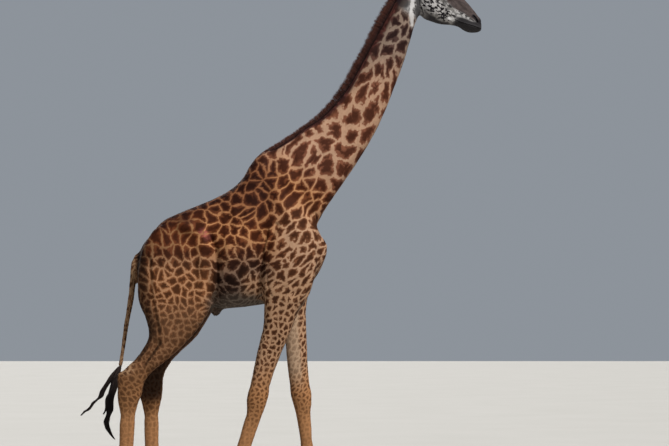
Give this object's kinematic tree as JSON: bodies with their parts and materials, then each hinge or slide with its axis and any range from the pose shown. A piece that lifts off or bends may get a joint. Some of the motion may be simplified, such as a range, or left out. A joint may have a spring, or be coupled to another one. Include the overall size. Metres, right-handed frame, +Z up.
{
  "type": "giraffe",
  "caption": "Life-size still model of a standing bull giraffe of the Masai kind, in mid stride, resting on its own hooves.",
  "frame": {"origin": "the middle of the model's box, on the floor under the soles", "axes": "+Z up, the animal faces +X, its left side is at +Y and its right side at -Y"},
  "size_m": [3.9756, 0.7418, 5.2999],
  "materials": {
    "hide": "short coat, dark chestnut patches in a narrow tan network",
    "horn": "short dark coat over bone, bare and worn at the tip",
    "mane_hair": "stiff upright red-brown hair",
    "tassel_hair": "long coarse black hair",
    "hoof": "worn grey-brown hoof horn",
    "eye": "wet dark brown"
  },
  "bodies": {
    "root": {"ear_left": "hide", "ear_right": "hide", "eye_left": "eye", "eye_right": "eye", "forehoof_left_inner": "hoof", "forehoof_left_outer": "hoof", "forehoof_right_inner": "hoof", "forehoof_right_outer": "hoof", "foreleg_left_lower": "hide", "foreleg_left_upper": "hide", "foreleg_right_lower": "hide", "foreleg_right_upper": "hide", "head": "hide", "hindhoof_left_inner": "hoof", "hindhoof_left_outer": "hoof", "hindhoof_right_inner": "hoof", "hindhoof_right_outer": "hoof", "hindleg_left_lower": "hide", "hindleg_left_upper": "hide", "hindleg_right_lower": "hide", "hindleg_right_upper": "hide", "horn_left": "horn", "horn_right": "horn", "mane": "mane_hair", "neck": "hide", "tail": "hide", "tail_tassel": "tassel_hair", "trunk": "hide"}
  },
  "joints": []
}
